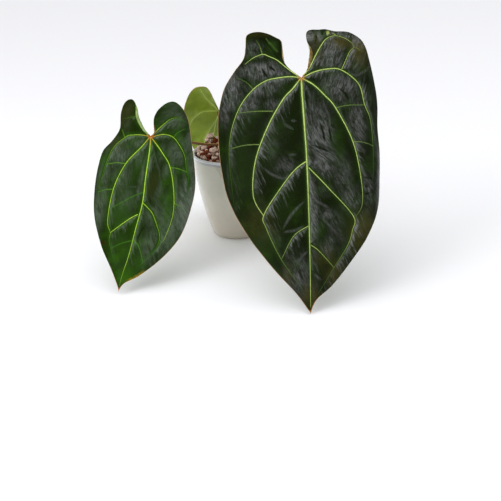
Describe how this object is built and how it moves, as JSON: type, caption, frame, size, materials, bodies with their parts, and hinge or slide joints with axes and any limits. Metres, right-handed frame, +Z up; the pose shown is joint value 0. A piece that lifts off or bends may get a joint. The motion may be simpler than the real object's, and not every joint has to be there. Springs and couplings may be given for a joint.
{
  "type": "potted anthurium hybrid",
  "caption": "Potted anthurium with dark, heart-shaped, pale-veined leaves hanging on slender stalks from a short stem in a tapered white glazed pot filled with a chunky stone mix.",
  "frame": {"origin": "centre of the pot's flat base, on the surface it stands on", "axes": "+Z up along the pot's axis; the two dark leaves face -Y, the small leaf faces +Y, and +X is to the right of a viewer looking along +Y"},
  "size_m": [0.3873, 0.3976, 0.3099],
  "materials": {
    "glaze": "glossy white glaze with a faint warm grey cast",
    "substrate": "matt chunky mix of cream pumice, red-brown lava rock and bark",
    "stem": "matt, ringed with leaf scars",
    "petiole": "satin, brown with an olive underside",
    "blade_dark": "dark velvety green with a streaky sheen and yellow-green veins",
    "blade_young": "olive green, matt underside",
    "sheath": "dry, papery, fibrous"
  },
  "bodies": {
    "root": {"pot": "glaze", "potting_mix": "substrate", "stem": "stem", "petiole_large": "petiole", "petiole_left": "petiole", "petiole_small": "petiole", "blade_large": "blade_dark", "blade_left": "blade_dark", "blade_small": "blade_young", "cataphyll_1": "sheath", "cataphyll_2": "sheath"}
  },
  "joints": []
}
